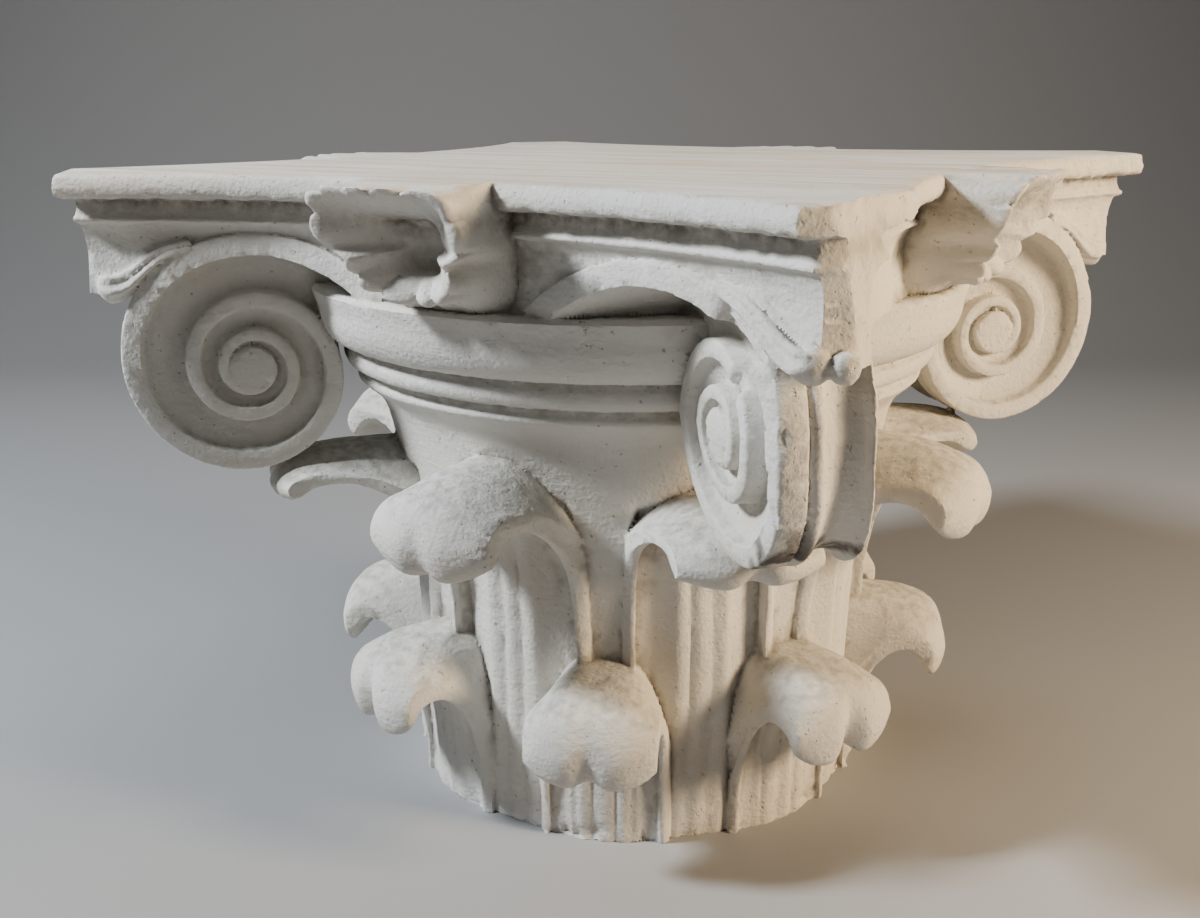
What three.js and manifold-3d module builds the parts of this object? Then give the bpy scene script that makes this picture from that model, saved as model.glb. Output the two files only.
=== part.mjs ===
// A cast plaster capital: a bell with two tiers of leaves, a plain ovolo, four corner volutes
// and a hollow-sided abacus with a flower on each side. One horn of the abacus is broken.
// Millimetres, +Z up. The underside lies on z = 0, and the column's axis is the Z axis.
// An azimuth of 0 faces -Y and 90 faces +X. The horns stand at 45, 135, 225 and 315.
import * as THREE from "three";
import { mergeVertices } from "three/addons/utils/BufferGeometryUtils.js";
import Module from "manifold-3d";

const wasm = await Module();
wasm.setup();

const rad = THREE.MathUtils.degToRad;
const mix = THREE.MathUtils.lerp;
const smooth = THREE.MathUtils.smoothstep;

// Bell, bands and ovolo
const HEIGHT = 405;
const BELL_BASE = 146;
const BELL_MID = 157;
const BELL_MID_Z = 190;
const BELL_TOP = 171;
const BELL_TOP_Z = 262;
const BAND_RADIUS = 186;
const BAND_Z = 273;
const ASTRAGAL_RADIUS = 193;
const ASTRAGAL_Z = 281;
const OVOLO_LOW = 197;
const OVOLO_HIGH = 214;
const OVOLO_Z = 299;
const OVOLO_TOP_Z = 336;
const BELL_SIDES = 32;

// Abacus
const ABACUS_UNDER = 343;
const HORN_RADIUS = 353;
const HORN_HALF = 29;
const SIDE_DEPTH = 214;
const FASCIA_SETBACK = 20;
const SIDE_STEPS = 7;
const ABACUS_PROFILE = [
  [FASCIA_SETBACK - 1, ABACUS_UNDER],
  [FASCIA_SETBACK + 1, 362],
  [FASCIA_SETBACK - 4, 379],
  [8, 381],
  [9, 388],
  [1, 391],
  [0, 400],
  [4, HEIGHT],
];

// Volutes
const EYE_RADIUS_OUT = 251;
const EYE_Z = 286.5;
const EYE_DISC = 13;
const SPIRAL_START = -52;
const SPIRAL_END = 660;
const SPIRAL_OUTER = 85.5;
const SPIRAL_SHRINK = 0.546;
const FILLET_WIDE = 13;
const FILLET_SHRINK = 0.72;
const FACE_HALF = 28.5;
const FACE_TAPER = 0.127;
const CHANNEL_DEPTH = 10;
const ROOT_SIZE = [90, 32];
const EDGE_HOLLOW = 6;
const BAND_PROUD = 4;

// Leaves: the curl in shares of the reach out from the bell and of the drop below the leaf's top
const CURL_MID = [
  [-0.1, 0],
  [0.42, -0.05],
  [0.72, -0.15],
  [0.9, -0.3],
  [1, -0.62],
  [0.92, -0.95],
  [0.76, -1],
  [0.52, -0.91],
  [0.24, -1.03],
  [0.09, -1.4],
  [0.03, -1.9],
];
const CURL_EDGE = [
  [-0.1, -1.05],
  [0.31, -0.52],
  [0.56, -0.42],
  [0.76, -0.45],
  [0.86, -0.55],
  [0.88, -0.74],
  [0.8, -0.86],
  [0.56, -0.68],
  [0.27, -0.77],
  [0.12, -1.15],
  [0.05, -1.8],
];
const TIP_POINTS = [3, 4, 5, 6];
const LEAF_CUTS = [-1, -0.75, -0.4, 0, 0.4, 0.75, 1];
const LEAF_INSIDE = 136;
const LEAF_HOLLOW = 3.5;
const NOTCH_HALF = 0.4;
const LEAVES_PER_TIER = 8;
const UPPER_LEAF = { root: 156, foot: 151, reach: 85, top: 247, drop: 58, body: 53, tip: 41 };
const CORNER_LEAF = { root: 156, foot: 151, reach: 85, top: 232, drop: 44, body: 53, tip: 41 };
const LOWER_LEAF = { root: 155, foot: 157, reach: 59, top: 121, drop: 57, body: 40, tip: 39 };

// Flowers
const FLOWER_Z = 372;
const FLOWER_HALF_WIDE = 49;
const FLOWER_UP = 33;
const FLOWER_DOWN = 31;
const FLOWER_DEPTH = 245;
const FLOWER_LEAN = 14;
const FLOWER_WAVE = 0.07;
const FLOWER_SIDES = 16;
const FLOWER_RINGS = [
  [0.98, -58],
  [0.86, -20],
  [1, 0],
  [0.88, 1],
  [0.45, -20],
];

// The curled leaf tip under each horn
const CURL_OUT = 326;
const CURL_Z = 333;
const CURL_HALF = [20, 28, 14];
const CURL_NOTCH = 7;

// The broken horn
const BROKEN_AZIMUTH = 45;
const BREAK_TURN = 36.5;
const BREAK_HIGH = { near: 351, side: -8, low: 340 };
const BREAK_LOW = { near: 336, side: 2, low: 313 };
const BREAK_SIZE = 120;

// Turns a closed geometry into a solid, with its faces outward and no collapsed triangles.
function solid(geometry) {
  const plain = geometry.clone();
  plain.deleteAttribute("normal");
  plain.deleteAttribute("uv");
  const merged = mergeVertices(plain, 1e-3);
  const corners = [];
  for (let i = 0; i < merged.index.count; i += 3) {
    const [a, b, c] = merged.index.array.slice(i, i + 3);
    if (a !== b && b !== c && c !== a) corners.push(a, b, c);
  }
  const vertProperties = merged.attributes.position.array;
  const build = (triVerts) =>
    new wasm.Manifold(
      new wasm.Mesh({ numProp: 3, vertProperties, triVerts: new Uint32Array(triVerts) }),
    );
  const made = build(corners);
  return made.volume() < 0 ? build(corners.reverse()) : made;
}

// The triangles that close a ring of points, turned to match the ring's own direction.
function capTriangles(ring) {
  const normal = new THREE.Vector3();
  ring.forEach((point, i) => normal.add(point.clone().cross(ring[(i + 1) % ring.length])));
  normal.normalize();
  const across = new THREE.Vector3(normal.y, normal.z, normal.x).cross(normal).normalize();
  const along = normal.clone().cross(across);
  const flat = ring.map((point) => new THREE.Vector2(point.dot(across), point.dot(along)));
  return THREE.ShapeUtils.triangulateShape(flat, []);
}

// A closed geometry through rings of equally many points, closed at the first and last ring.
function loft(rings) {
  const size = rings[0].length;
  const index = [];
  for (let k = 0; k + 1 < rings.length; k++) {
    for (let i = 0; i < size; i++) {
      const a = k * size + i;
      const b = k * size + ((i + 1) % size);
      index.push(a, b, b + size, a, b + size, a + size);
    }
  }
  const last = (rings.length - 1) * size;
  capTriangles(rings[0]).forEach(([a, b, c]) => index.push(a, c, b));
  capTriangles(rings.at(-1)).forEach(([a, b, c]) => index.push(last + a, last + b, last + c));
  return new THREE.BufferGeometry().setFromPoints(rings.flat()).setIndex(index);
}

// A point from its distance out along an azimuth, its offset to the side and its height.
function place(azimuth, out, side, z) {
  const a = rad(azimuth);
  const x = out * Math.sin(a) + side * Math.cos(a);
  const y = -out * Math.cos(a) + side * Math.sin(a);
  return new THREE.Vector3(x, y, z);
}

// A geometry made with X out, Y to the side and Z up, stood at an azimuth.
function stand(geometry, azimuth) {
  return geometry.rotateZ(rad(azimuth - 90));
}

// The arc that hollows each side of the abacus: its radius, and its centre's distance out.
const hornCorner = (HORN_RADIUS + HORN_HALF) / Math.SQRT2;
const halfChord = (HORN_RADIUS - HORN_HALF) / Math.SQRT2;
const sagitta = hornCorner - SIDE_DEPTH;
const SIDE_ARC = (halfChord ** 2 + sagitta ** 2) / (2 * sagitta);
const SIDE_CENTRE = SIDE_DEPTH + SIDE_ARC;

// How far from a horn's diagonal the hollow side lies, at a distance out along the diagonal.
function sideOffset(out, setback) {
  const centre = SIDE_CENTRE / Math.SQRT2;
  return centre - Math.sqrt((SIDE_ARC + setback) ** 2 - (centre - out) ** 2);
}

function bell() {
  const profile = new THREE.Path();
  profile.moveTo(0, 0);
  profile.lineTo(BELL_BASE, 0);
  profile.quadraticCurveTo(BELL_BASE, BELL_MID_Z / 2, BELL_MID, BELL_MID_Z);
  profile.quadraticCurveTo(BELL_MID + 4, BELL_TOP_Z - 24, BELL_TOP, BELL_TOP_Z);
  profile.quadraticCurveTo(BELL_TOP + 4, BAND_Z - 2, BAND_RADIUS, BAND_Z);
  profile.lineTo(BAND_RADIUS, ASTRAGAL_Z - 2);
  profile.lineTo(ASTRAGAL_RADIUS - 3, ASTRAGAL_Z);
  profile.quadraticCurveTo(ASTRAGAL_RADIUS - 1, OVOLO_Z - 8, ASTRAGAL_RADIUS + 1, OVOLO_Z - 3);
  profile.lineTo(OVOLO_LOW, OVOLO_Z);
  profile.quadraticCurveTo(OVOLO_HIGH, OVOLO_Z + 9, OVOLO_HIGH, OVOLO_TOP_Z);
  profile.lineTo(SIDE_DEPTH - 30, OVOLO_TOP_Z);
  profile.lineTo(SIDE_DEPTH - 30, ABACUS_UNDER + 12);
  profile.lineTo(0, ABACUS_UNDER + 12);
  const steps = 2;
  return solid(new THREE.LatheGeometry(profile.getPoints(steps), BELL_SIDES).rotateX(Math.PI / 2));
}

// The abacus outline at a setback: for each side its hollow arc, from horn corner to horn corner.
function abacusRing(setback, z) {
  const reach = HORN_RADIUS - setback;
  const corner = sideOffset(reach, setback);
  const half = (reach - corner) / Math.SQRT2;
  const ring = [];
  for (let side = 0; side < 4; side++) {
    for (let i = 0; i <= SIDE_STEPS; i++) {
      const across = mix(-half, half, i / SIDE_STEPS);
      const out = SIDE_CENTRE - Math.sqrt((SIDE_ARC + setback) ** 2 - across ** 2);
      ring.push(place(side * 90, out, across, z));
    }
  }
  return ring;
}

function abacus() {
  return solid(loft(ABACUS_PROFILE.map(([setback, z]) => abacusRing(setback, z))));
}

// The spiral's outer edge and fillet width at a turn, in degrees from the top towards the horn.
const spiralRadius = (turn) => SPIRAL_OUTER * SPIRAL_SHRINK ** (turn / 360);
const filletWidth = (turn) => FILLET_WIDE * FILLET_SHRINK ** (turn / 360);

// Half of the volute's thickness: a wedge below, spreading to lie on the abacus above.
function faceHalf(out, z) {
  const wedge = FACE_HALF - FACE_TAPER * (out - EYE_RADIUS_OUT);
  const spread = sideOffset(out, FASCIA_SETBACK) + BAND_PROUD;
  return mix(wedge, Math.max(wedge, spread), smooth(z, 318, 348));
}

function spiralPoint(turn, radius) {
  const out = EYE_RADIUS_OUT + radius * Math.sin(rad(turn));
  const z = EYE_Z + radius * Math.cos(rad(turn));
  return [out, z];
}

// One cut across the spiral wall, from face to face, with the hollow along its outer edge.
function spiralCut(azimuth, turn) {
  const [out, z] = spiralPoint(turn, spiralRadius(turn));
  const [outIn, zIn] = spiralPoint(turn, spiralRadius(turn) - filletWidth(turn));
  const hollow = EDGE_HOLLOW * smooth(turn, 10, 60) * (1 - smooth(turn, 230, 300));
  const [outDip, zDip] = spiralPoint(turn, spiralRadius(turn) - hollow);
  const half = faceHalf(out, z);
  const halfIn = faceHalf(outIn, zIn);
  return [
    place(azimuth, out, -half, z),
    place(azimuth, outDip, 0, zDip),
    place(azimuth, out, half, z),
    place(azimuth, outIn, halfIn, zIn),
    place(azimuth, outIn, -halfIn, zIn),
  ];
}

function spiralWall(azimuth) {
  const cuts = [];
  let turn = SPIRAL_START;
  while (turn < SPIRAL_END) {
    cuts.push(spiralCut(azimuth, turn));
    turn += mix(24, 45, smooth(turn, 200, SPIRAL_END));
  }
  cuts.push(spiralCut(azimuth, SPIRAL_END));
  return solid(loft(cuts));
}

// The sunk floor of both faces: the area within the first turn, thinner than the fillets.
function spiralFloor(azimuth) {
  const rings = [-1, 1].map((sign) => {
    const ring = [];
    for (let turn = 0; turn < 360; turn += 40) {
      const [out, z] = spiralPoint(turn, spiralRadius(turn) - filletWidth(turn) / 2);
      ring.push(place(azimuth, out, sign * (faceHalf(out, EYE_Z) - CHANNEL_DEPTH), z));
    }
    return ring;
  });
  return solid(loft(rings));
}

function volute(azimuth) {
  const eyeLong = 2 * FACE_HALF - 1;
  const eye = new THREE.CylinderGeometry(EYE_DISC, EYE_DISC, eyeLong, 10);
  eye.translate(EYE_RADIUS_OUT, 0, EYE_Z);
  const rootHigh = ABACUS_UNDER + 10 - OVOLO_Z;
  const root = new THREE.BoxGeometry(...ROOT_SIZE, rootHigh);
  root.translate(EYE_RADIUS_OUT - ROOT_SIZE[0] / 2, 0, OVOLO_Z + rootHigh / 2);
  return spiralWall(azimuth)
    .add(spiralFloor(azimuth))
    .add(solid(stand(eye, azimuth)))
    .add(solid(stand(root, azimuth)));
}

// A curled leaf tip under a horn: a flattened ball, notched in front into two lobes.
function hornCurl(azimuth) {
  const ball = new THREE.SphereGeometry(1, 10, 4).rotateX(Math.PI / 2);
  ball.scale(...CURL_HALF);
  const points = ball.attributes.position;
  for (let i = 0; i < points.count; i++) {
    const middle = 1 - smooth(Math.abs(points.getY(i)), 0, CURL_HALF[1] / 2);
    if (points.getX(i) > 0) points.setX(i, points.getX(i) - CURL_NOTCH * middle);
  }
  ball.translate(CURL_OUT, 0, CURL_Z);
  return solid(stand(ball, azimuth));
}

// One cut through a leaf, parallel to its midrib. u runs from -1 to 1 across the leaf.
function leafCut(leaf, azimuth, u) {
  const share = Math.abs(u) ** 2.2;
  const notch = Math.max(0, 1 - Math.abs(u) / NOTCH_HALF) ** 2;
  const hollow = LEAF_HOLLOW * Math.sin(Math.PI * Math.abs(u)) ** 2;
  const at = (r, z, half) => place(azimuth + THREE.MathUtils.radToDeg((u * half) / r), r, 0, z);
  const points = CURL_MID.map(([a, b], i) => {
    const tip = TIP_POINTS.includes(i) ? notch : 0;
    const outShare = mix(a, CURL_EDGE[i][0], share) - 0.1 * tip;
    const dropShare = mix(b, CURL_EDGE[i][1], share) + 0.12 * tip;
    const sunk = i > 6 ? hollow : 0;
    const r = leaf.root + leaf.reach * outShare - sunk;
    const z = Math.max(leaf.top + leaf.drop * dropShare, 5);
    return at(r, z, mix(leaf.body, leaf.tip, smooth(outShare, 0, 0.7)));
  });
  const topZ = points[0].z;
  points.push(at(leaf.foot + 2 * share - hollow, 0, leaf.body));
  points.push(at(LEAF_INSIDE, 0, (leaf.body * LEAF_INSIDE) / leaf.root));
  points.push(at(LEAF_INSIDE, topZ, (leaf.body * LEAF_INSIDE) / leaf.root));
  return points;
}

function leafSolid(leaf, azimuth) {
  return solid(loft(LEAF_CUTS.map((u) => leafCut(leaf, azimuth, u))));
}

// One ring of a flower: a wavy, squarish round, narrower below and leaning forward at the top.
function flowerRing(azimuth, share, back) {
  const ring = [];
  for (let i = 0; i < FLOWER_SIDES; i++) {
    const angle = (2 * Math.PI * i) / FLOWER_SIDES;
    const across = Math.cos(angle);
    const up = Math.sin(angle);
    const square = 1 / (across ** 4 + up ** 4) ** 0.125;
    const wave = back > -5 ? 1 - FLOWER_WAVE * (i % 2) : 1;
    const size = share * wave * square;
    const side = size * across * FLOWER_HALF_WIDE * (1 - 0.22 * Math.max(0, -up));
    const high = Math.min(size * up * (up > 0 ? FLOWER_UP : FLOWER_DOWN), FLOWER_UP - 1);
    ring.push(place(azimuth, FLOWER_DEPTH + back + FLOWER_LEAN * share * up, side, FLOWER_Z + high));
  }
  return ring;
}

function flower(azimuth) {
  return solid(loft(FLOWER_RINGS.map(([share, back]) => flowerRing(azimuth, share, back))));
}

// The block that a break takes away: everything beyond an upright plane, above a height.
function breakBlock({ near, side, low }) {
  const block = new THREE.BoxGeometry(BREAK_SIZE, 2 * BREAK_SIZE, BREAK_SIZE);
  block.translate(BREAK_SIZE / 2, 0, low + BREAK_SIZE / 2);
  block.rotateZ(rad(BREAK_TURN));
  block.translate(near, side, 0);
  return solid(stand(block, BROKEN_AZIMUTH));
}

function capitalSolid() {
  let body = bell().add(abacus());
  for (let corner = 0; corner < 4; corner++) {
    const azimuth = 45 + 90 * corner;
    body = body.add(volute(azimuth)).add(hornCurl(azimuth)).add(flower(90 * corner));
  }
  for (let k = 0; k < LEAVES_PER_TIER; k++) {
    const upper = k % 2 ? CORNER_LEAF : UPPER_LEAF;
    body = body.add(leafSolid(upper, 45 * k)).add(leafSolid(LOWER_LEAF, 45 * k + 22.5));
  }
  return body.subtract(breakBlock(BREAK_HIGH)).subtract(breakBlock(BREAK_LOW));
}

// A three.js geometry from a solid.
function geometryOf(made) {
  const mesh = made.getMesh();
  const geometry = new THREE.BufferGeometry();
  geometry.setAttribute("position", new THREE.BufferAttribute(mesh.vertProperties, 3));
  geometry.setIndex(new THREE.BufferAttribute(mesh.triVerts, 1));
  geometry.computeVertexNormals();
  return geometry;
}

const plaster = new THREE.MeshStandardMaterial({ color: 0xe4e0d6, roughness: 0.9, metalness: 0 });
const capital = new THREE.Mesh(geometryOf(capitalSolid()), plaster);
capital.name = "capital";

const part = new THREE.Group();
part.add(capital);

export default part;
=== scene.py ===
"""A cast plaster column capital with corner volutes and two tiers of leaves, dressed for rendering.

The forms are worked out in millimetres from a few driving sizes, fused into one cast piece, broken
and worn as the real one is, and finished as matte, dusty plaster on a plain studio floor.
An azimuth of 0 faces -Y and 90 faces +X. The horns of the abacus stand at 45, 135, 225 and 315.
"""

import itertools
import logging
import math
from dataclasses import dataclass, field
from enum import Enum

import bpy
import numpy as np
from mathutils import Matrix, Vector


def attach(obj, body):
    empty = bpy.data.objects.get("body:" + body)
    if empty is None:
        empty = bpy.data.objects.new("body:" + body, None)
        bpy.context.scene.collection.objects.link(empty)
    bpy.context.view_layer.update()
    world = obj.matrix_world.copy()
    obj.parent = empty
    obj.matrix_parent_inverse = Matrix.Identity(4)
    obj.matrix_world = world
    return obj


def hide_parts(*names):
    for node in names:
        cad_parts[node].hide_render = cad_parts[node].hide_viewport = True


logging.basicConfig(level=logging.INFO, format="%(message)s")
log = logging.getLogger("capital")

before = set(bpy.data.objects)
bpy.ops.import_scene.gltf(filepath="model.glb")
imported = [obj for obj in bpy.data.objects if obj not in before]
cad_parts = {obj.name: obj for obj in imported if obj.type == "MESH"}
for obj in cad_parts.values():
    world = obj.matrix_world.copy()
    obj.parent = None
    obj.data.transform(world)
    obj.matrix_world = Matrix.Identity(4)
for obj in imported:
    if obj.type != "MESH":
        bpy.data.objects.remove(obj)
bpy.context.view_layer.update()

MM = 0.001
HEIGHT = 405.0
HORN_AZIMUTHS = (45.0, 135.0, 225.0, 315.0)
SIDE_AZIMUTHS = (0.0, 90.0, 180.0, 270.0)
BROKEN_HORN = 45.0
LEAF_STEP = 45.0

Span = tuple[float, float]
Triple = tuple[float, float, float]
Piece = bpy.types.Object
Socket = bpy.types.NodeSocket


def smooth(value: np.ndarray, low: float, high: float) -> np.ndarray:
    """Eases from 0 at low to 1 at high.

    Args:
        value: Numbers to ease.
        low: The value at and below which the result is 0.
        high: The value at and above which the result is 1.

    Returns:
        The eased numbers, from 0 to 1.
    """
    share = np.clip((np.asarray(value, float) - low) / (high - low), 0, 1)
    return share * share * (3 - 2 * share)


def within(value: np.ndarray, rise: Span, fall: Span) -> np.ndarray:
    """Eases from 0 up to 1 over the rise, and back to 0 over the fall."""
    return smooth(value, *rise) * (1 - smooth(value, *fall))


def bump(value: np.ndarray, middle: float, width: float) -> np.ndarray:
    """A bell curve of the given width around a middle."""
    return np.exp(-(((np.asarray(value, float) - middle) / width) ** 2))


def mix(first: np.ndarray, second: np.ndarray, share: np.ndarray) -> np.ndarray:
    """Blends from first to second by a share from 0 to 1."""
    return first + (second - first) * share


def place(azimuth: np.ndarray, out: np.ndarray, side: np.ndarray, z: np.ndarray) -> np.ndarray:
    """Points from their distance out along an azimuth, their offset to the side and their height.

    Args:
        azimuth: Degrees from -Y towards +X.
        out: Distance from the axis along the azimuth, in millimetres.
        side: Offset across the azimuth, in millimetres.
        z: Height above the underside, in millimetres.

    Returns:
        An array of points in metres, with the inputs' common shape and a last axis of 3.
    """
    turn, out, side, z = np.broadcast_arrays(np.radians(azimuth), out, side, z)
    x = out * np.sin(turn) + side * np.cos(turn)
    y = -out * np.cos(turn) + side * np.sin(turn)
    return np.stack([x, y, z], axis=-1) * MM


def spline(points: np.ndarray, steps: int) -> np.ndarray:
    """A smooth curve through points, as equal steps on each span.

    Args:
        points: Points along axis -2, with their coordinates on the last axis.
        steps: The number of steps between two neighbouring points.

    Returns:
        The points of the curve, along axis -2.
    """
    first = 2 * points[..., :1, :] - points[..., 1:2, :]
    last = 2 * points[..., -1:, :] - points[..., -2:-1, :]
    padded = np.concatenate([first, points, last], axis=-2)
    a, b, c, d = (padded[..., k : k + points.shape[-2] - 1, None, :] for k in range(4))
    t = (np.arange(steps) / steps)[:, None]
    curve = b + 0.5 * t * (c - a + t * (2 * a - 5 * b + 4 * c - d + t * (3 * (b - c) + d - a)))
    curve = curve.reshape(*curve.shape[:-3], -1, curve.shape[-1])
    return np.concatenate([curve, points[..., -1:, :]], axis=-2)


def grain(points: np.ndarray, size: float, seed: int) -> np.ndarray:
    """Smooth random noise from -1 to 1, the same on every run.

    Args:
        points: Points in metres, one to a row.
        size: The width of one grain, in millimetres.
        seed: Which noise.

    Returns:
        One number for each point.
    """
    scaled = points / (size * MM)
    cell = np.floor(scaled).astype(np.int64)
    ease = smooth(scaled - cell, 0, 1)
    total = np.zeros(len(points))
    for corner in itertools.product((0, 1), repeat=3):
        weight = np.prod(np.where(corner, ease, 1 - ease), axis=1)
        key = (cell + corner) @ np.array([73856093, 19349663, 83492791]) + seed * 2654435761
        key = (key ^ (key >> 13)) * 1274126177
        total += weight * (((key ^ (key >> 16)) & 0xFFFF) / 32767.5 - 1)
    return total


def rough(points: np.ndarray, size: float, seed: int) -> np.ndarray:
    """Noise in three octaves, the coarsest of the given size."""
    octaves = [grain(points, size / 2**k, seed + k) / 2**k for k in range(3)]
    return sum(octaves) / 1.75


def deselect() -> None:
    """Leaves nothing selected, in object mode."""
    bpy.ops.object.select_all(action="DESELECT")


def make_active(piece: Piece) -> None:
    """Selects one object alone and makes it the active one."""
    deselect()
    piece.select_set(True)
    bpy.context.view_layer.objects.active = piece


def shell(name: str, points: np.ndarray) -> Piece:
    """Models a closed form: a grid primitive laid over rows of points, sewn up and capped.

    Args:
        name: The object's name.
        points: Rows of points in metres. A row that closes on itself repeats its first point.

    Returns:
        The new object, with its faces outward.
    """
    rows, columns, _ = points.shape
    deselect()
    bpy.ops.mesh.primitive_grid_add(x_subdivisions=columns - 1, y_subdivisions=rows - 1, size=1)
    piece = bpy.context.object
    piece.name = name
    piece.data.vertices.foreach_set("co", points.astype(np.float32).ravel())
    bpy.ops.object.mode_set(mode="EDIT")
    bpy.ops.mesh.select_all(action="SELECT")
    bpy.ops.mesh.remove_doubles(threshold=0.002 * MM)
    bpy.ops.mesh.select_all(action="SELECT")
    bpy.ops.mesh.fill_holes(sides=0)
    bpy.ops.mesh.select_all(action="SELECT")
    bpy.ops.mesh.normals_make_consistent(inside=False)
    bpy.ops.object.mode_set(mode="OBJECT")
    return piece


def apply_modifier(piece: Piece, kind: str, **settings: object) -> None:
    """Adds a modifier with the given settings and applies it.

    Args:
        piece: The object to change.
        kind: The modifier's type.
        **settings: Values set on the modifier.
    """
    make_active(piece)
    modifier = piece.modifiers.new(kind.title(), kind)
    for name, value in settings.items():
        setattr(modifier, name, value)
    bpy.ops.object.modifier_apply(modifier=modifier.name)


def vertex_rows(piece: Piece, kind: str) -> np.ndarray:
    """Three numbers for each of an object's vertices, one vertex to a row.

    Args:
        piece: The object.
        kind: "co" for the places, in metres, or "normal" for the normals.

    Returns:
        The rows.
    """
    flat = np.empty(len(piece.data.vertices) * 3, np.float32)
    piece.data.vertices.foreach_get(kind, flat)
    return flat.reshape(-1, 3).astype(float)


def move_to(piece: Piece, points: np.ndarray) -> None:
    """Moves an object's vertices to new places."""
    piece.data.vertices.foreach_set("co", points.astype(np.float32).ravel())
    piece.data.update()


@dataclass
class Bell:
    """The bell, the fillet and astragal around its top, and the plain ovolo over them."""

    base: float = 146.0
    middle: float = 157.0
    middle_z: float = 190.0
    top: float = 171.0
    top_z: float = 258.0
    fillet: float = 186.0
    fillet_z: float = 273.0
    astragal: float = 193.0
    astragal_z: float = 281.0
    ovolo_low: float = 197.0
    ovolo_high: float = 214.0
    ovolo_z: float = 299.0
    ovolo_top: float = 336.0
    neck: float = 182.0
    inside_z: float = 360.0
    recess: float = 16.0
    recess_turn: Span = (14.5, 16.5)
    recess_z: Span = (205.0, 225.0)
    spin_steps: int = 320

    def profile(self) -> list[tuple[float, float]]:
        """The bell's half section.

        Returns:
            Radius and height of each point, from the axis below to the axis above.
        """
        stem = [(self.base, 0.0), (self.base + 2, 95.0), (self.middle, self.middle_z)]
        stem += [(self.middle + 6, 228.0), (self.top, self.top_z), (self.fillet - 1, self.fillet_z)]
        flare = [tuple(point) for point in spline(np.array(stem), 10)]
        turn = np.radians(np.linspace(-78, 0, 14))
        round_out = self.ovolo_high - self.ovolo_low
        round_up = self.ovolo_top - 12 - self.ovolo_z
        ovolo_out = self.ovolo_low + round_out * (np.cos(turn) - math.cos(turn[0]))
        ovolo_z = self.ovolo_z + round_up * (np.sin(turn) - math.sin(turn[0]))
        return [
            (0.0, 0.0),
            *flare,
            (self.fillet, self.fillet_z + 0.8),
            (self.fillet, self.astragal_z - 4.5),
            (self.fillet - 2.6, self.astragal_z - 2.6),
            (self.fillet - 2.6, self.astragal_z + 0.4),
            (self.astragal - 1, self.astragal_z + 3.2),
            (self.astragal + 1, self.astragal_z + 8),
            (self.astragal + 0.4, self.ovolo_z - 5.4),
            (self.astragal - 2.4, self.ovolo_z - 3.6),
            (self.astragal - 2.4, self.ovolo_z - 0.6),
            (self.ovolo_low - 1, self.ovolo_z + 0.6),
            *zip(ovolo_out[1:], ovolo_z[1:]),
            (self.ovolo_high - 0.4, self.ovolo_top - 2.5),
            (self.ovolo_high - 3, self.ovolo_top),
            (self.neck, self.ovolo_top),
            (self.neck, self.inside_z),
            (0.0, self.inside_z),
        ]

    def build(self) -> Piece:
        """Spins the half section round the axis.

        Returns:
            The closed bell.
        """
        section = np.array(self.profile())
        turn = np.linspace(0, 360, self.spin_steps + 1)[:, None]
        from_leaf = np.abs((turn + LEAF_STEP / 2) % LEAF_STEP - LEAF_STEP / 2)
        behind = 1 - smooth(from_leaf, *self.recess_turn)
        behind = behind * (1 - smooth(section[:, 1], *self.recess_z)) * (section[:, 0] > 0)
        return shell("bell", place(turn, section[:, 0] - self.recess * behind, 0.0, section[:, 1]))


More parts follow.
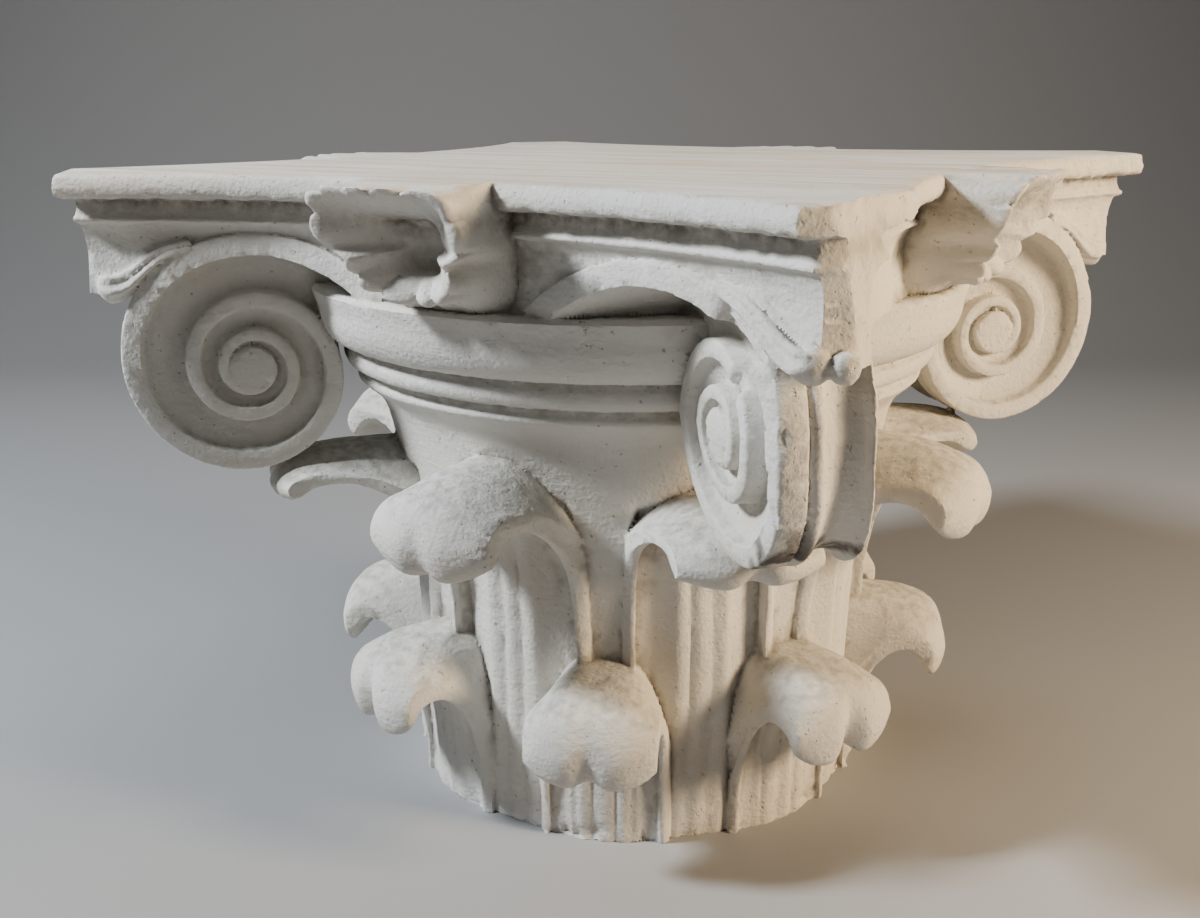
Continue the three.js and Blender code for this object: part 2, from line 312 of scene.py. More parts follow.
@dataclass
class Abacus:
    """The hollow-sided, moulded slab on top, with its four horns cut off square."""

    under: float = 334.0
    horn_radius: float = 353.0
    horn_half: float = 29.0
    side_depth: float = 214.0
    fascia: float = 20.0
    end_share: float = 0.6
    side_steps: int = 96
    arc: float = field(init=False)
    centre: float = field(init=False)

    def __post_init__(self) -> None:
        """Works out the arc that hollows each side."""
        corner = (self.horn_radius + self.horn_half) / math.sqrt(2)
        half_chord = (self.horn_radius - self.horn_half) / math.sqrt(2)
        sagitta = corner - self.side_depth
        self.arc = (half_chord**2 + sagitta**2) / (2 * sagitta)
        self.centre = self.side_depth + self.arc

    def side_offset(self, out: np.ndarray, setback: float) -> np.ndarray:
        """How far from a horn's diagonal the hollow side lies.

        Args:
            out: Distance from the axis along the diagonal, in millimetres.
            setback: How far the outline is set back from the top band.

        Returns:
            The offset from the diagonal, in millimetres.
        """
        middle = self.centre / math.sqrt(2)
        return middle - np.sqrt((self.arc + setback) ** 2 - (middle - out) ** 2)

    def profile(self) -> np.ndarray:
        """Setback and height of each ring of the moulding, from the underside up."""
        fascia = self.fascia
        band = [(16.5, 388), (15, 390), (6, 390.8), (1.4, 391.8), (0, 394), (-0.4, 398), (0.6, 402)]
        return np.array(
            [
                (fascia - 1, self.under),
                (fascia + 0.6, 350),
                (fascia + 1.4, 360),
                (fascia, 369),
                (fascia - 3, 375),
                (fascia - 6, 376.4),
                (12.8, 376.8),
                (12.2, 378),
                (12.8, 379.2),
                (14.6, 380.4),
                (16, 384),
                *band,
                (2.2, 404.2),
                (6, HEIGHT),
            ]
        )

    def ring(self, setback: float, z: float) -> np.ndarray:
        """The outline at one setback and height.

        Args:
            setback: Distance inside the top band's outline.
            z: Height.

        Returns:
            Points around the slab, the first repeated last.
        """
        reach = self.horn_radius - self.end_share * setback
        half = (reach - self.side_offset(reach, setback)) / math.sqrt(2)
        across = np.linspace(-half, half, self.side_steps)
        out = self.centre - np.sqrt((self.arc + setback) ** 2 - across**2)
        sides = [place(azimuth, out, across, z) for azimuth in SIDE_AZIMUTHS]
        return np.concatenate([*sides, sides[0][:1]])

    def build(self) -> Piece:
        """Stacks the rings of the moulding.

        Returns:
            The closed slab.
        """
        rows = [self.ring(setback, z) for setback, z in self.profile()]
        return shell("abacus", np.stack(rows))


@dataclass
class Chip:
    """A stretch of a volute's fillet that has broken off one face."""

    start: float
    end: float
    depth: float
    slope: float = 2.0


@dataclass
class Volute:
    """A corner scroll: a spiral fillet and sunk channel on both faces, hung under a horn."""

    azimuth: float
    abacus: Abacus
    lean: float = 0.0
    chips: tuple[Chip, ...] = ()
    arched: tuple[int, ...] = (-1, 1)
    eye_out: float = 251.0
    eye_z: float = 286.5
    eye_radius: float = 13.3
    quarter_radius: float = 75.5
    shrink: float = 0.516
    flatten: float = 5.0
    spring: float = -56.0
    fillet: float = 13.0
    fillet_shrink: float = 0.72
    face_half: float = 27.0
    face_taper: float = 0.05
    band_proud: float = 4.0
    channel: float = 11.5
    channel_shape: tuple[Span, ...] = (
        (0.03, 0.12), (0.08, 0.5), (0.2, 0.66),
        (0.45, 0.82), (0.7, 0.94), (0.97, 1.0),
    )
    arris: float = 0.9
    edge_hollow: float = 4.5
    edge_step: float = 3.0
    edge_bead: float = 3.2
    room_end: float = 70.0
    room_reach: float = 150.0
    turn_steps: int = 241

    def radius(self, turn: np.ndarray) -> np.ndarray:
        """The spiral's outer edge.

        Args:
            turn: Degrees from the top of the first turn, towards the horn.

        Returns:
            Distance from the eye, in millimetres.
        """
        spiral = self.quarter_radius * self.shrink ** ((np.asarray(turn, float) - 90) / 360)
        arched = spiral - self.flatten * (1 - smooth(turn, 0, 75))
        return np.maximum(arched, self.eye_radius)

    def fillet_width(self, turn: np.ndarray) -> np.ndarray:
        """The flat fillet's width at a turn."""
        return self.fillet * self.fillet_shrink ** (np.asarray(turn, float) / 360)

    def half(self, out: np.ndarray, turn: np.ndarray, sign: int) -> np.ndarray:
        """Half of the scroll's thickness: a wedge that spreads to lie on the abacus at the top.

        Args:
            out: Distance from the axis along the diagonal.
            turn: Degrees along the spiral.
            sign: -1 or 1, which face.

        Returns:
            Distance from the diagonal to the face.
        """
        wedge = self.face_half - self.face_taper * (out - self.eye_out)
        spread = self.abacus.side_offset(out, self.abacus.fascia) + self.band_proud
        return np.where(np.asarray(turn < 90) & (sign in self.arched), np.maximum(wedge, spread), wedge)

    def chipped(self, turn: np.ndarray, sign: int) -> np.ndarray:
        """How much of the fillet's height is broken off, on the face that shows its chips.

        Args:
            turn: Degrees along the spiral.
            sign: -1 or 1, which face.

        Returns:
            The lost height, in millimetres.
        """
        lost = np.zeros(np.shape(turn))
        for chip in self.chips if sign < 0 else ():
            length = within(turn, (chip.start, chip.start + chip.slope), (chip.end - chip.slope, chip.end))
            lost = np.maximum(lost, chip.depth * length)
        return lost

    def face_row(self, turn: float, sign: int) -> np.ndarray:
        """One face's section from the eye to the outer edge.

        Args:
            turn: Degrees along the outer turn, from the top towards the horn.
            sign: -1 or 1, which face.

        Returns:
            Rows of distance from the eye and offset from the diagonal.
        """
        points = []
        for here in (turn, turn + 360, turn + 720):
            outer = float(self.radius(here))
            inner = float(self.radius(here + 360))
            if outer < self.eye_radius + 0.05:
                points += [(self.eye_radius, self.arris, 360.0)] * (3 + len(self.channel_shape))
                continue
            width = min(float(self.fillet_width(here)), outer - inner)
            arris = min(self.arris, width / 3)
            lost = float(self.chipped(here, sign))
            points.append((outer, arris + lost, here))
            points.append((outer - arris, lost, here))
            points.append((outer - width + arris / 2, lost, here))
            gap = outer - width - inner
            depth = self.channel * (1 - math.exp(-gap / 7))
            for share, sunk in self.channel_shape:
                points.append((outer - width - share * gap, sunk * depth, 360.0))
        points.append((self.eye_radius, self.arris, 360.0))
        points.append((self.eye_radius - self.arris, 0.0, 360.0))
        points.append((0.0, 0.0, 360.0))
        section = np.array(points)
        out = self.eye_out + section[:, 0] * math.sin(math.radians(turn))
        offset = self.half(out, section[:, 2], sign) - section[:, 1]
        return np.column_stack([section[:, 0], sign * offset])[::-1]

    def edge_row(self, turn: float) -> np.ndarray:
        """The scroll's outer edge between its two faces: a band, a bead and a wide hollow.

        Args:
            turn: Degrees along the outer turn, from the top towards the horn.

        Returns:
            Rows of distance from the eye and offset from the diagonal.
        """
        outer = float(self.radius(turn))
        out = self.eye_out + outer * math.sin(math.radians(turn))
        across = np.linspace(-0.97, 0.97, 49)
        half = [float(self.half(np.array(out), np.array(turn), sign)) for sign in (-1, 1)]
        step = self.edge_step * within(across, (-0.4, -0.34), (0.8, 0.94))
        bead = self.edge_bead * np.sqrt(np.maximum(1 - ((across + 0.17) / 0.15) ** 2, 0))
        hollow = self.edge_hollow * np.maximum(1 - ((across - 0.46) / 0.46) ** 2, 0)
        fade = float(within(turn, (20, 70), (230, 290)))
        lower = fade * (step + hollow - bead)
        return np.column_stack([outer - lower, across * np.where(across < 0, *half)])

    def stand(self, turn: float, section: np.ndarray) -> np.ndarray:
        """Stands a section round the eye in its place on the capital.

        Args:
            turn: Degrees from the top towards the horn.
            section: Rows of distance from the eye and offset from the diagonal.

        Returns:
            Points in metres.
        """
        out = self.eye_out + section[:, 0] * math.sin(math.radians(turn))
        z = self.eye_z + section[:, 0] * math.cos(math.radians(turn))
        side = section[:, 1] + self.lean * np.maximum(self.eye_z - z, 0)
        return place(self.azimuth, out, side, z)

    def build(self) -> Piece:
        """Sweeps the section round the eye, from where the band springs to where it closes.

        Returns:
            A closed form.
        """
        rows = []
        for turn in np.linspace(self.spring, self.spring + 360, self.turn_steps):
            section = [self.face_row(turn, -1), self.edge_row(turn), self.face_row(turn, 1)[::-1]]
            rows.append(self.stand(turn, np.concatenate(section)))
        return shell("volute", np.stack(rows))

    def recess(self, sign: int) -> Piece:
        """The room under the arching band, sunk into the abacus beside the scroll.

        Args:
            sign: -1 or 1, on which side of the diagonal.

        Returns:
            A closed form to cut away.
        """
        turn = np.linspace(self.spring, self.room_end, 64)
        reach = self.radius(turn) - 0.6 * self.fillet_width(turn)
        out = self.eye_out + reach * np.sin(np.radians(turn))
        z = self.eye_z + reach * np.cos(np.radians(turn))
        out = np.concatenate([out, out[-1:], out[:1], out[:1]])
        z = np.concatenate([z, [self.eye_z], [self.eye_z], z[:1]])
        near = self.face_half - self.channel - 1
        walls = [place(self.azimuth, out, sign * side, z) for side in (near, self.room_reach)]
        return shell("recess", np.stack(walls))


@dataclass
class HornCurl:
    """The small ribbed leaf that sweeps from a volute's arches and curls out under a horn in lobes."""

    azimuth: float
    signs: tuple[int, ...] = (-1, 1)
    lobe: tuple[tuple[float, ...], ...] = (
        (280.0, 37.0, 363.0, 3.0), (297.0, 28.0, 357.0, 5.0),
        (310.0, 22.5, 350.0, 6.6), (321.0, 18.5, 342.5, 7.6),
        (331.0, 15.0, 337.5, 8.2), (338.0, 13.5, 336.5, 8.4),
        (343.0, 12.8, 338.0, 6.0), (345.0, 12.5, 339.0, 0.5),
    )
    middle: tuple[tuple[float, ...], ...] = (
        (300.0, 0.0, 352.0, 4.0), (318.0, 0.0, 344.0, 6.0),
        (332.0, -1.0, 339.0, 7.0), (341.0, -1.0, 336.5, 7.6),
        (347.0, -1.0, 337.5, 5.5), (349.0, -1.0, 338.0, 0.5),
    )
    shift: float = 0.0
    shifted: Span = (285.0, 335.0)
    ribs: tuple[Span, ...] = ((0.75, 0.75), (1.0, -0.15), (0.1, 1.0))
    rib_girth: float = 0.42
    sides: int = 24

    def tube(self, path: np.ndarray) -> Piece:
        """A swelling tube along a path.

        Args:
            path: Rows of distance out, offset, height and girth.

        Returns:
            A closed form.
        """
        around = np.linspace(0, 2 * math.pi, self.sides + 1)
        out, side, z, girth = spline(path, 8).T[..., None]
        out = out + self.shift * smooth(out, *self.shifted)
        side = side + girth * np.cos(around)
        z = z + girth * np.sin(around)
        return shell("horn_lobe", place(self.azimuth, out, side, z))

    def build(self) -> list[Piece]:
        """Models the lobes, with ribs along those at the sides.

        Returns:
            Closed forms.
        """
        forms = [self.tube(np.array(self.middle))]
        for sign in self.signs:
            path = np.array(self.lobe) * (1, sign, 1, 1)
            forms.append(self.tube(path))
            for across, up in self.ribs:
                rib = path[:-1].copy()
                rib[:, 1] += sign * across * path[:-1, 3]
                rib[:, 2] += up * path[:-1, 3]
                rib[:, 3] = self.rib_girth * path[:-1, 3] * np.linspace(1, 0.5, len(rib))
                forms.append(self.tube(rib))
        return forms


@dataclass(frozen=True)
class LeafShape:
    """The sizes of one kind of leaf, in millimetres, and its flutes as shares of its half width."""

    root: float
    foot: float
    reach: float
    top: float
    drop: float
    body: float
    tip: float
    arch: float
    hollow: float
    flute: float
    fluted: float
    notch: float


class Tier(Enum):
    """The three kinds of leaf."""

    UPPER = LeafShape(156, 152, 85, 247, 58, 53, 41, 2.2, 11.0, 0.3, 0.32, 0.5)
    CORNER = LeafShape(156, 152, 92, 232, 35, 48, 41, 2.2, 11.0, 0.32, 0.34, 0.8)
    LOWER = LeafShape(155, 156, 59, 121, 57, 41, 39, 3.4, 7.0, 0.3, 0.5, 0.9)


CURL_MIDDLE = np.array(
    [
        (-0.1, 0.0), (0.42, -0.05), (0.72, -0.15), (0.9, -0.3),
        (1.0, -0.62), (0.95, -0.9), (0.84, -0.99), (0.7, -0.8),
        (0.46, -0.55), (0.2, -0.72), (0.07, -1.2), (0.02, -1.85),
    ]
)
CURL_EDGE = np.array(
    [
        (-0.1, -1.05), (0.31, -0.5), (0.56, -0.37), (0.74, -0.37),
        (0.86, -0.48), (0.9, -0.64), (0.84, -0.77), (0.7, -0.58),
        (0.48, -0.57), (0.26, -0.84), (0.1, -1.22), (0.01, -1.8),
    ]
)


@dataclass
class Leaf:
    """A plain uncut leaf: a fluted hollow body in thick rims, with its tip curled out and down."""

    azimuth: float
    tier: Tier
    notch: float = 1.0
    cuts: int = 105
    steps: int = 8
    stem_steps: int = 24
    inside: float = 132.0
    ceiling: float = 0.08
    rim: float = 0.84
    rim_edge: float = 0.02
    rim_bevel: float = 2.4
    flute_depth: float = 1.2
    tuck: float = 12.0

    def build(self) -> Piece:
        """Lays cuts side by side across the leaf.

        Returns:
            A closed form.
        """
        leaf = self.tier.value
        across = np.linspace(-1, 1, self.cuts)[:, None]
        away = np.abs(across)
        path = spline(mix(CURL_MIDDLE, CURL_EDGE, (away**leaf.arch)[..., None]), self.steps)
        along = np.linspace(0, len(CURL_MIDDLE) - 1, path.shape[1])
        cleft = leaf.notch * self.notch * bump(across, 0, 0.2)
        cleft = cleft * within(along, (1.6, 4.8), (6.2, 7.2))
        vault = self.panel(away) * within(along, (6.3, 7.3), (9, 11))
        out_share = path[..., 0] - 0.09 * cleft
        radius = leaf.root + leaf.reach * out_share
        z = np.maximum(leaf.top + leaf.drop * (path[..., 1] + 0.1 * cleft + self.ceiling * vault), 4)
        half = mix(leaf.body, leaf.tip, smooth(out_share, 0, 0.7))
        stem = np.linspace(0, 1, self.stem_steps + 1)[1:]
        radius = np.concatenate([radius, mix(radius[:, -1:], leaf.foot, stem)], axis=1)
        z = np.concatenate([z, z[:, -1:] * (1 - stem)], axis=1)
        half = np.concatenate([half, np.full((self.cuts, self.stem_steps), leaf.body)], axis=1)
        along = np.concatenate([along, along[-1] + stem])
        radius = radius - self.sunk(across, along, z) - self.tucked(away, z)
        back = np.full_like(away, self.inside)
        radius = np.concatenate([radius, back, back], axis=1)
        z = np.concatenate([z, np.zeros_like(away), z[:, :1]], axis=1)
        half = np.concatenate([half, np.repeat(half[:, -1:] * self.inside / leaf.root, 2, axis=1)], axis=1)
        points = place(self.azimuth + np.degrees(across * half / radius), radius, 0.0, z)
        return shell("leaf", np.concatenate([points, points[:, :1]], axis=1))

    def sunk(self, across: np.ndarray, along: np.ndarray, z: np.ndarray) -> np.ndarray:
        """How far the leaf's front lies behind its rims.

        Args:
            across: From -1 to 1 across the leaf.
            along: The place along the cut, from the top over the tip to the foot.
            z: Heights of the points.

        Returns:
            Depths in millimetres.
        """
        leaf = self.tier.value
        away = np.abs(across)
        front = smooth(along, 7.2, 9.0)
        scoop = mix(0.45, 1.0, smooth(away, leaf.fluted * 0.8, 0.62)) * mix(0.5, 1.0, smooth(z, 0, 110))
        uneven = across + 0.03 * np.sin(9 * across + self.azimuth) + 0.02 * np.sin(z / 31 + self.azimuth)
        flutes = np.abs(np.cos(math.pi * uneven / leaf.flute)) ** 0.8 * 2 - 1
        flutes = flutes * (1 - smooth(away, leaf.fluted, leaf.fluted + 0.1))
        flutes = flutes * mix(0.6, 1.0, smooth(z, 0, 60))
        bevel = self.rim_bevel * smooth(away, 0.92, 1)
        return front * (leaf.hollow * scoop * self.panel(away) - self.flute_depth * flutes + bevel)

    def panel(self, away: np.ndarray) -> np.ndarray:
        """Where the sunk panel between the rims is, from 0 to 1."""
        return 1 - smooth(away, self.rim - self.rim_edge, self.rim + self.rim_edge)

    def tucked(self, away: np.ndarray, z: np.ndarray) -> np.ndarray:
        """How far an upper leaf's sides draw in behind the lower leaves, in millimetres."""
        below = (1 - smooth(z, 70, 100)) if self.tier is not Tier.LOWER else np.zeros_like(z)
        return self.tuck * below * smooth(away, 0.5, 0.66)


@dataclass
class Flower:
    """The open flower in the middle of a side: a fluted funnel with a lower lip, on a plain boss."""

    azimuth: float
    z: float = 372.0
    half_wide: float = 48.5
    up: float = 33.0
    lip_wide: float = 37.0
    down: float = 31.0
    waist: float = 3.0
    boss_wide: float = 43.0
    boss_high: float = 50.0
    depth: float = 248.0
    lean: float = 20.0
    petals: int = 14
    fold_depth: float = 4.2
    sides: int = 300
    rings: tuple[Triple, ...] = (
        (1.0, -64.0, 0.0), (0.99, -40.0, 0.0), (0.98, -24.0, 0.05), (0.97, -14.0, 0.3),
        (0.99, -6.0, 0.8), (1.01, -1.8, 1.0), (0.99, 0.8, 1.0), (0.94, 1.5, 1.0),
        (0.86, 0.0, 1.0), (0.75, -4.0, 1.0), (0.62, -9.0, 0.95), (0.5, -15.0, 0.8),
        (0.42, -22.0, 0.55), (0.33, -29.0, 0.3), (0.18, -33.0, 0.0), (0.0, -33.5, 0.0),
    )

    def outline(self, turn: np.ndarray) -> np.ndarray:
        """The rim's distance from the flower's middle.

        Args:
            turn: Angles round the flower, from the right and up.

        Returns:
            Distances in millimetres.
        """
        across = np.abs(np.cos(turn))
        high = np.abs(np.sin(turn))
        fan = ((across / self.half_wide) ** 5 + (high / self.up) ** 5) ** -0.2
        lip = ((across / self.lip_wide) ** 2.6 + (high / self.down) ** 2.6) ** (-1 / 2.6)
        size = np.where(np.sin(turn) > 0, fan, lip)
        blend = smooth(np.sin(turn), -0.22, 0.06)
        size = mix(np.minimum(lip, size), fan, blend)
        return size - self.waist * bump(np.sin(turn), -0.2, 0.1)

    def build(self) -> Piece:
        """Stacks rings from the boss over the rim and down into the funnel.

        Returns:
            A closed form.
        """
        turn = np.linspace(0, 2 * math.pi, self.sides + 1)
        size = self.outline(turn)
        up = np.sin(turn)
        ruffle = turn + 0.12 * np.sin(2 * turn + 0.6) + 0.05 * np.sin(5 * turn)
        wave = np.abs(np.cos(self.petals * ruffle / 2 + 0.9)) ** 0.6
        boss = ((np.abs(np.cos(turn)) / self.boss_wide) ** 4 + (np.abs(up) / self.boss_high) ** 4) ** -0.25
        rows = []
        for share, back, fold in self.rings:
            behind = float(smooth(-back, 6, 50))
            reach = mix(size, boss, behind) * share * (1 - 0.1 * fold * (1 - wave))
            side = reach * np.cos(turn)
            high = np.minimum(reach * up, self.up - 0.5 - 1.5 * fold * (1 - wave))
            crease = -self.fold_depth * fold * (1 - wave)
            out = self.depth + back + crease + self.lean * share * up
            rows.append(place(self.azimuth, out, side, self.z + high))
        return shell("flower", np.stack(rows))


@dataclass
class BreakCut:
    """What a break took from the horn: everything beyond a rough upright plane, above a height."""

    near: float
    side: float
    low: float
    turn: float = 45.0
    lean: float = 0.1
    size: float = 130.0
    roughness: float = 3.2
    steps: int = 90

    def build(self) -> Piece:
        """Models the lost lump, with a rough face where it parted.

        Returns:
            A closed form to cut away.
        """
        across = np.linspace(-self.size, self.size, self.steps)
        z = self.low + np.linspace(0, 1, self.steps)[:, None] * self.size
        face = self.stand(0.0, across, z)
        flat = face.reshape(-1, 3)
        uneven = self.roughness * MM * (rough(flat, 22, 5) + 0.5 * rough(flat, 6, 9))
        away = self.stand(1.0, 0.0, 0.0) - self.stand(0.0, 0.0, 0.0)
        near = flat + uneven[:, None] * away / np.linalg.norm(away)
        far = flat + away * self.size
        both = np.stack([near.reshape(face.shape), far.reshape(face.shape)])
        ring = np.concatenate([both[0], both[1][:, ::-1], both[0][:, :1]], axis=1)
        return shell("break", ring)

    def stand(self, ahead: np.ndarray, across: np.ndarray, z: np.ndarray) -> np.ndarray:
        """Points from their place in the break's own upright plane.

        Args:
            ahead: Distance beyond the plane.
            across: Distance along the plane.
            z: Height.

        Returns:
            Points in metres.
        """
        turn = math.radians(self.turn)
        near = self.near - self.lean * (z - self.low)
        out = near + ahead * math.cos(turn) - across * math.sin(turn)
        side = self.side + ahead * math.sin(turn) + across * math.cos(turn)
        return place(BROKEN_HORN, out, side, z)


@dataclass(frozen=True)
class TintLayer:
    """A tint that shows where a layer kept on the mesh and a noise, mapped by a ramp, agree. Most are
    stains and dust; the crease layer is dirt together with painted shade.
    """

    layer: str
    tint: Triple
    scale: float
    detail: float
    ramp: tuple[float, float, float, float]
    stretch: Triple = (1.0, 1.0, 1.0)


@dataclass(frozen=True)
class PlasterFinish:
    """Matte off-white plaster: dirt with painted shade in the creases and under the top band, dust on the
    leaves, brush marks and fine pores.
    """

    clean: Triple = (0.75, 0.735, 0.7)
    warm: Triple = (0.69, 0.64, 0.565)
    pore: Triple = (0.2, 0.165, 0.13)
    roughness: float = 0.9
    specular: float = 0.2
    pore_scale: float = 330.0
    relief: float = 0.8
    relief_height: float = 0.0009
    tint_layers: tuple[TintLayer, ...] = (
        TintLayer("top", (0.62, 0.52, 0.44), 1.0, 5.0, (0.42, 0.66, 0.0, 0.75), (7.0, 95.0, 1.0)),
        TintLayer("dust", (0.46, 0.44, 0.41), 150.0, 7.0, (0.4, 0.66, 0.05, 0.7)),
        # Dirt together with painted shade: dark brown in the creases and in the recess under the top band,
        # standing in for the shade that collects there.
        TintLayer("dirt_and_painted_shade", (0.2, 0.165, 0.13), 190.0, 5.0, (0.3, 0.6, 0.45, 1.0)),
        TintLayer("soot", (0.11, 0.095, 0.085), 48.0, 6.0, (0.46, 0.62, 0.0, 0.85)),
    )

    def build(self) -> bpy.types.Material:
        """Makes the node material.

        Returns:
            The plaster material.
        """
        material = bpy.data.materials.new("plaster")
        material.use_nodes = True
        tree = Nodes(material.node_tree)
        where = tree.add("ShaderNodeTexCoord").outputs["Object"]
        colour = self.colour(tree, where)
        tree.link(colour, tree.shader.inputs["Base Color"])
        tree.shader.inputs["Roughness"].default_value = self.roughness
        tree.shader.inputs["Specular IOR Level"].default_value = self.specular
        self.surface(tree, where)
        return material

    def colour(self, tree: "Nodes", where: Socket) -> Socket:
        """Builds the colour up from clean plaster to its stains and dust, with dirt and painted shade in
        the creases.

        Args:
            tree: The material's nodes.
            where: Coordinates on the object.

        Returns:
            The colour.
        """
        patch = tree.ramp(tree.noise(where, 9.0, 5.0), 0.4, 0.7, 0.0, 0.6)
        colour = tree.blend(patch, self.clean, self.warm)
        for tint_layer in self.tint_layers:
            noise = tree.noise(tree.stretched(where, tint_layer.stretch), tint_layer.scale, tint_layer.detail)
            share = tree.math("MULTIPLY", tree.attribute(tint_layer.layer), tree.ramp(noise, *tint_layer.ramp))
            colour = tree.blend(share, colour, tint_layer.tint)
        pore = tree.ramp(tree.noise(where, self.pore_scale, 2.0), 0.7, 0.76, 0.0, 0.5)
        return tree.blend(pore, colour, self.pore)

    def surface(self, tree: "Nodes", where: Socket) -> None:
        """Adds the fine relief: grain, brush marks that run round, and pores.

        Args:
            tree: The material's nodes.
            where: Coordinates on the object.
        """
        fine = tree.noise(where, 380.0, 6.0)
        brush = tree.noise(tree.stretched(where, (70.0, 70.0, 240.0)), 1.0, 5.0)
        pore = tree.ramp(tree.noise(where, self.pore_scale, 2.0), 0.66, 0.76, 1.0, 0.0)
        height = tree.math("ADD", tree.math("MULTIPLY", fine, pore), brush)
        tree.relief(height, self.relief, self.relief_height)


class Nodes:
    """Short ways to add nodes to a material."""

    def __init__(self, tree: bpy.types.NodeTree) -> None:
        """Keeps the tree and its main shader."""
        self.tree = tree
        self.shader = tree.nodes["Principled BSDF"]

    def add(self, kind: str) -> bpy.types.Node:
        """Adds a node of a kind."""
        return self.tree.nodes.new(kind)

    def link(self, source: Socket, target: Socket) -> None:
        """Joins two sockets."""
        self.tree.links.new(source, target)

    def noise(self, where: Socket, scale: float, detail: float) -> Socket:
        """Adds a noise texture.

        Args:
            where: The coordinates.
            scale: Grains to a metre.
            detail: Octaves.

        Returns:
            The noise, from 0 to 1.
        """
        node = self.add("ShaderNodeTexNoise")
        node.inputs["Scale"].default_value = scale
        node.inputs["Detail"].default_value = detail
        self.link(where, node.inputs["Vector"])
        return node.outputs["Fac"]

    def stretched(self, where: Socket, scale: tuple[float, ...]) -> Socket:
        """Scales coordinates along each axis."""
        node = self.add("ShaderNodeMapping")
        node.inputs["Scale"].default_value = scale
        self.link(where, node.inputs["Vector"])
        return node.outputs["Vector"]

    def attribute(self, name: str) -> Socket:
        """Reads a number kept on the mesh."""
        node = self.add("ShaderNodeAttribute")
        node.attribute_name = name
        return node.outputs["Fac"]

    def ramp(self, value: Socket, low: float, high: float, start: float, end: float) -> Socket:
        """Maps a stretch of values to another.

        Args:
            value: The value to map.
            low: Where the stretch starts.
            high: Where it ends.
            start: The result at and before its start.
            end: The result at and after its end.

        Returns:
            The mapped value.
        """
        node = self.add("ShaderNodeMapRange")
        for socket, number in zip(node.inputs[1:5], (low, high, start, end)):
            socket.default_value = number
        self.link(value, node.inputs[0])
        return node.outputs[0]

    def math(self, kind: str, first: Socket, second: Socket) -> Socket:
        """Adds a math node.

        Args:
            kind: Its operation.
            first: The first value.
            second: The second value.

        Returns:
            The result.
        """
        node = self.add("ShaderNodeMath")
        node.operation = kind
        self.link(first, node.inputs[0])
        self.link(second, node.inputs[1])
        return node.outputs[0]

    def blend(self, share: Socket, first: object, second: object) -> Socket:
        """Blends two colours.

        Args:
            share: From 0, the first, to 1, the second.
            first: A colour or a socket.
            second: A colour or a socket.

        Returns:
            The blended colour.
        """
        node = self.add("ShaderNodeMix")
        node.data_type = "RGBA"
        self.link(share, node.inputs[0])
        for socket, colour in ((node.inputs[6], first), (node.inputs[7], second)):
            if isinstance(colour, tuple):
                socket.default_value = (*colour, 1.0)
            else:
                self.link(colour, socket)
        return node.outputs[2]

    def relief(self, height: Socket, strength: float, distance: float) -> None:
        """Raises the surface by a height.

        Args:
            height: The height, from 0 to 1.
            strength: How strongly it shows.
            distance: The height that 1 stands for, in metres.
        """
        node = self.add("ShaderNodeBump")
        node.inputs["Strength"].default_value = strength
        node.inputs["Distance"].default_value = distance
        self.link(height, node.inputs["Height"])
        self.link(node.outputs["Normal"], self.shader.inputs["Normal"])


